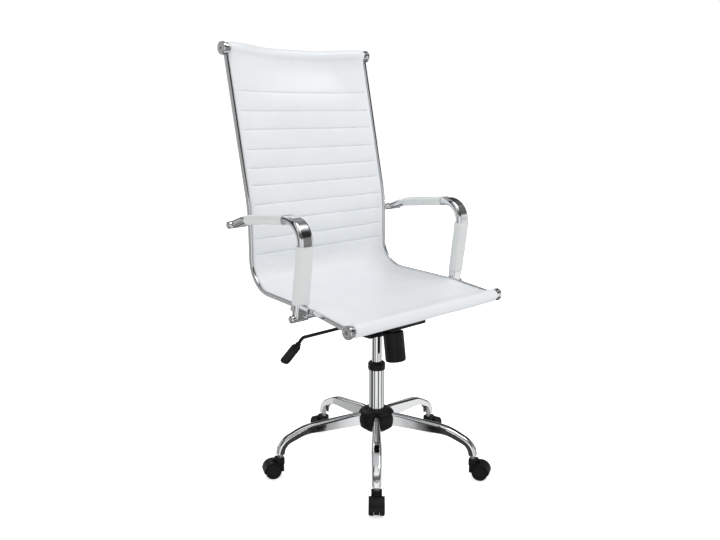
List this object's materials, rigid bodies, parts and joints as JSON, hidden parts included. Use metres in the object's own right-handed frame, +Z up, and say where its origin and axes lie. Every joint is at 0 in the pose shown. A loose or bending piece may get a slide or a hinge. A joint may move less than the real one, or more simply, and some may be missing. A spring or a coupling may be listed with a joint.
{
  "type": "swivel office chair",
  "caption": "High-back sling office chair on a gas lift with a star base on twin-wheel casters; the seat swivels, rises and tilts, and the arms are closed loops.",
  "frame": {"origin": "point on the floor under the axis of the gas lift column", "axes": "+Z up, the sitter faces -Y, +X is to the sitter's left"},
  "size_m": [0.5994, 0.6089, 1.062],
  "materials": {
    "chrome_frame": "polished chrome plate",
    "bright_steel": "bare turned steel",
    "black_paint": "satin black powder coat",
    "black_plastic": "moulded nylon, fine satin",
    "wheel_plastic": "moulded nylon tread",
    "caster_steel": "zinc-plated steel",
    "white_leatherette": "smooth white leatherette with a slight sheen",
    "white_sleeves": "white leatherette with a stitched seam"
  },
  "bodies": {
    "base": {"hub_sleeve": "bright_steel", "leg_1": "chrome_frame", "leg_2": "chrome_frame", "leg_3": "chrome_frame", "leg_4": "chrome_frame", "leg_5": "chrome_frame", "hub_cover": "black_plastic", "caster_sockets": "bright_steel", "column_tube": "chrome_frame", "column_bush": "black_plastic"},
    "piston": {"piston_rod": "bright_steel", "thrust_bearing": "bright_steel"},
    "lift": {"gas_cylinder": "chrome_frame", "mechanism_housing": "black_paint", "pivot_shaft": "bright_steel", "tilt_spring": "bright_steel"},
    "valve": {"valve_pin": "bright_steel"},
    "knob": {"tension_knob": "black_plastic", "tension_screw": "black_paint"},
    "lock_slide": {"lever_bush": "black_plastic"},
    "lever": {"lever_rod": "black_paint", "lever_paddle": "black_plastic"},
    "seat": {"seat_plate": "black_paint", "frame_bolts": "bright_steel", "cross_rod_front": "chrome_frame", "cross_rod_rear": "chrome_frame", "side_rail_left": "chrome_frame", "side_rail_right": "chrome_frame", "top_tube": "chrome_frame", "front_tube": "chrome_frame", "end_caps": "chrome_frame", "end_cap_screws": "bright_steel", "sling": "white_leatherette", "arm_left": "chrome_frame", "arm_right": "chrome_frame", "armrest_pad_left": "white_sleeves", "armrest_pad_right": "white_sleeves", "post_sleeve_left": "white_sleeves", "post_sleeve_right": "white_sleeves", "arm_fasteners": "chrome_frame"},
    "caster_1": {"caster_1_hood": "black_plastic", "caster_1_pins": "caster_steel"},
    "wheel_1_left": {"caster_1_wheel_left": "wheel_plastic"},
    "wheel_1_right": {"caster_1_wheel_right": "wheel_plastic"},
    "caster_2": {"caster_2_hood": "black_plastic", "caster_2_pins": "caster_steel"},
    "wheel_2_left": {"caster_2_wheel_left": "wheel_plastic"},
    "wheel_2_right": {"caster_2_wheel_right": "wheel_plastic"},
    "caster_3": {"caster_3_hood": "black_plastic", "caster_3_pins": "caster_steel"},
    "wheel_3_left": {"caster_3_wheel_left": "wheel_plastic"},
    "wheel_3_right": {"caster_3_wheel_right": "wheel_plastic"},
    "caster_4": {"caster_4_hood": "black_plastic", "caster_4_pins": "caster_steel"},
    "wheel_4_left": {"caster_4_wheel_left": "wheel_plastic"},
    "wheel_4_right": {"caster_4_wheel_right": "wheel_plastic"},
    "caster_5": {"caster_5_hood": "black_plastic", "caster_5_pins": "caster_steel"},
    "wheel_5_left": {"caster_5_wheel_left": "wheel_plastic"},
    "wheel_5_right": {"caster_5_wheel_right": "wheel_plastic"}
  },
  "joints": [
    {"name": "seat_swivel", "type": "hinge", "parent": "base", "child": "piston", "pos_m": [0, 0, 0.1], "axis": [0, 0, 1], "continuous": true},
    {"name": "height_adjust", "type": "slide", "parent": "piston", "child": "lift", "axis": [0, 0, 1], "range_m": [-0.06, 0.04]},
    {"name": "tilt", "type": "hinge", "parent": "lift", "child": "seat", "pos_m": [0, -0.04, 0.418], "axis": [-1, 0, 0], "range_deg": [0, 12], "stiffness_Nm_per_rad": 150, "springref_deg": -8.59},
    {"name": "tension_knob_turn", "type": "hinge", "parent": "lift", "child": "knob", "pos_m": [0, -0.067, 0.292], "axis": [0, 0.1392, 0.9903], "range_deg": [-720, 720]},
    {"name": "tilt_lock", "type": "slide", "parent": "lift", "child": "lock_slide", "axis": [-1, 0, 0], "range_m": [0, 0.01]},
    {"name": "lever_lift", "type": "hinge", "parent": "lock_slide", "child": "lever", "pos_m": [-0.052, 0, 0.387], "axis": [0, 1, 0], "range_deg": [0, 4], "stiffness_Nm_per_rad": 0.6, "springref_deg": -34.38},
    {"name": "valve_press", "type": "slide", "parent": "lift", "child": "valve", "axis": [0, 0, -1], "range_m": [0, 0.005]},
    {"name": "caster_1_swivel", "type": "hinge", "parent": "base", "child": "caster_1", "pos_m": [-0.17819, -0.17819, 0.06], "axis": [0, 0, 1], "continuous": true},
    {"name": "wheel_1_left_spin", "type": "hinge", "parent": "caster_1", "child": "wheel_1_left", "pos_m": [-0.19233, -0.19233, 0.02], "axis": [0.7071, -0.7071, 0], "continuous": true},
    {"name": "wheel_1_right_spin", "type": "hinge", "parent": "caster_1", "child": "wheel_1_right", "pos_m": [-0.19233, -0.19233, 0.02], "axis": [0.7071, -0.7071, 0], "continuous": true},
    {"name": "caster_2_swivel", "type": "hinge", "parent": "base", "child": "caster_2", "pos_m": [0.11441, -0.22453, 0.06], "axis": [0, 0, 1], "continuous": true},
    {"name": "wheel_2_left_spin", "type": "hinge", "parent": "caster_2", "child": "wheel_2_left", "pos_m": [0.12348, -0.24235, 0.02], "axis": [0.891, 0.454, 0], "continuous": true},
    {"name": "wheel_2_right_spin", "type": "hinge", "parent": "caster_2", "child": "wheel_2_right", "pos_m": [0.12348, -0.24235, 0.02], "axis": [0.891, 0.454, 0], "continuous": true},
    {"name": "caster_3_swivel", "type": "hinge", "parent": "base", "child": "caster_3", "pos_m": [0.2489, 0.03942, 0.06], "axis": [0, 0, 1], "continuous": true},
    {"name": "wheel_3_left_spin", "type": "hinge", "parent": "caster_3", "child": "wheel_3_left", "pos_m": [0.26865, 0.04255, 0.02], "axis": [-0.1564, 0.9877, 0], "continuous": true},
    {"name": "wheel_3_right_spin", "type": "hinge", "parent": "caster_3", "child": "wheel_3_right", "pos_m": [0.26865, 0.04255, 0.02], "axis": [-0.1564, 0.9877, 0], "continuous": true},
    {"name": "caster_4_swivel", "type": "hinge", "parent": "base", "child": "caster_4", "pos_m": [0.03942, 0.2489, 0.06], "axis": [0, 0, 1], "continuous": true},
    {"name": "wheel_4_left_spin", "type": "hinge", "parent": "caster_4", "child": "wheel_4_left", "pos_m": [0.04255, 0.26865, 0.02], "axis": [-0.9877, 0.1564, 0], "continuous": true},
    {"name": "wheel_4_right_spin", "type": "hinge", "parent": "caster_4", "child": "wheel_4_right", "pos_m": [0.04255, 0.26865, 0.02], "axis": [-0.9877, 0.1564, 0], "continuous": true},
    {"name": "caster_5_swivel", "type": "hinge", "parent": "base", "child": "caster_5", "pos_m": [-0.22453, 0.11441, 0.06], "axis": [0, 0, 1], "continuous": true},
    {"name": "wheel_5_left_spin", "type": "hinge", "parent": "caster_5", "child": "wheel_5_left", "pos_m": [-0.24235, 0.12348, 0.02], "axis": [-0.454, -0.891, 0], "continuous": true},
    {"name": "wheel_5_right_spin", "type": "hinge", "parent": "caster_5", "child": "wheel_5_right", "pos_m": [-0.24235, 0.12348, 0.02], "axis": [-0.454, -0.891, 0], "continuous": true}
  ],
  "couplings": [
    {"joint": "valve_press", "follows": "lever_lift", "m_per_rad": 0.055}
  ]
}
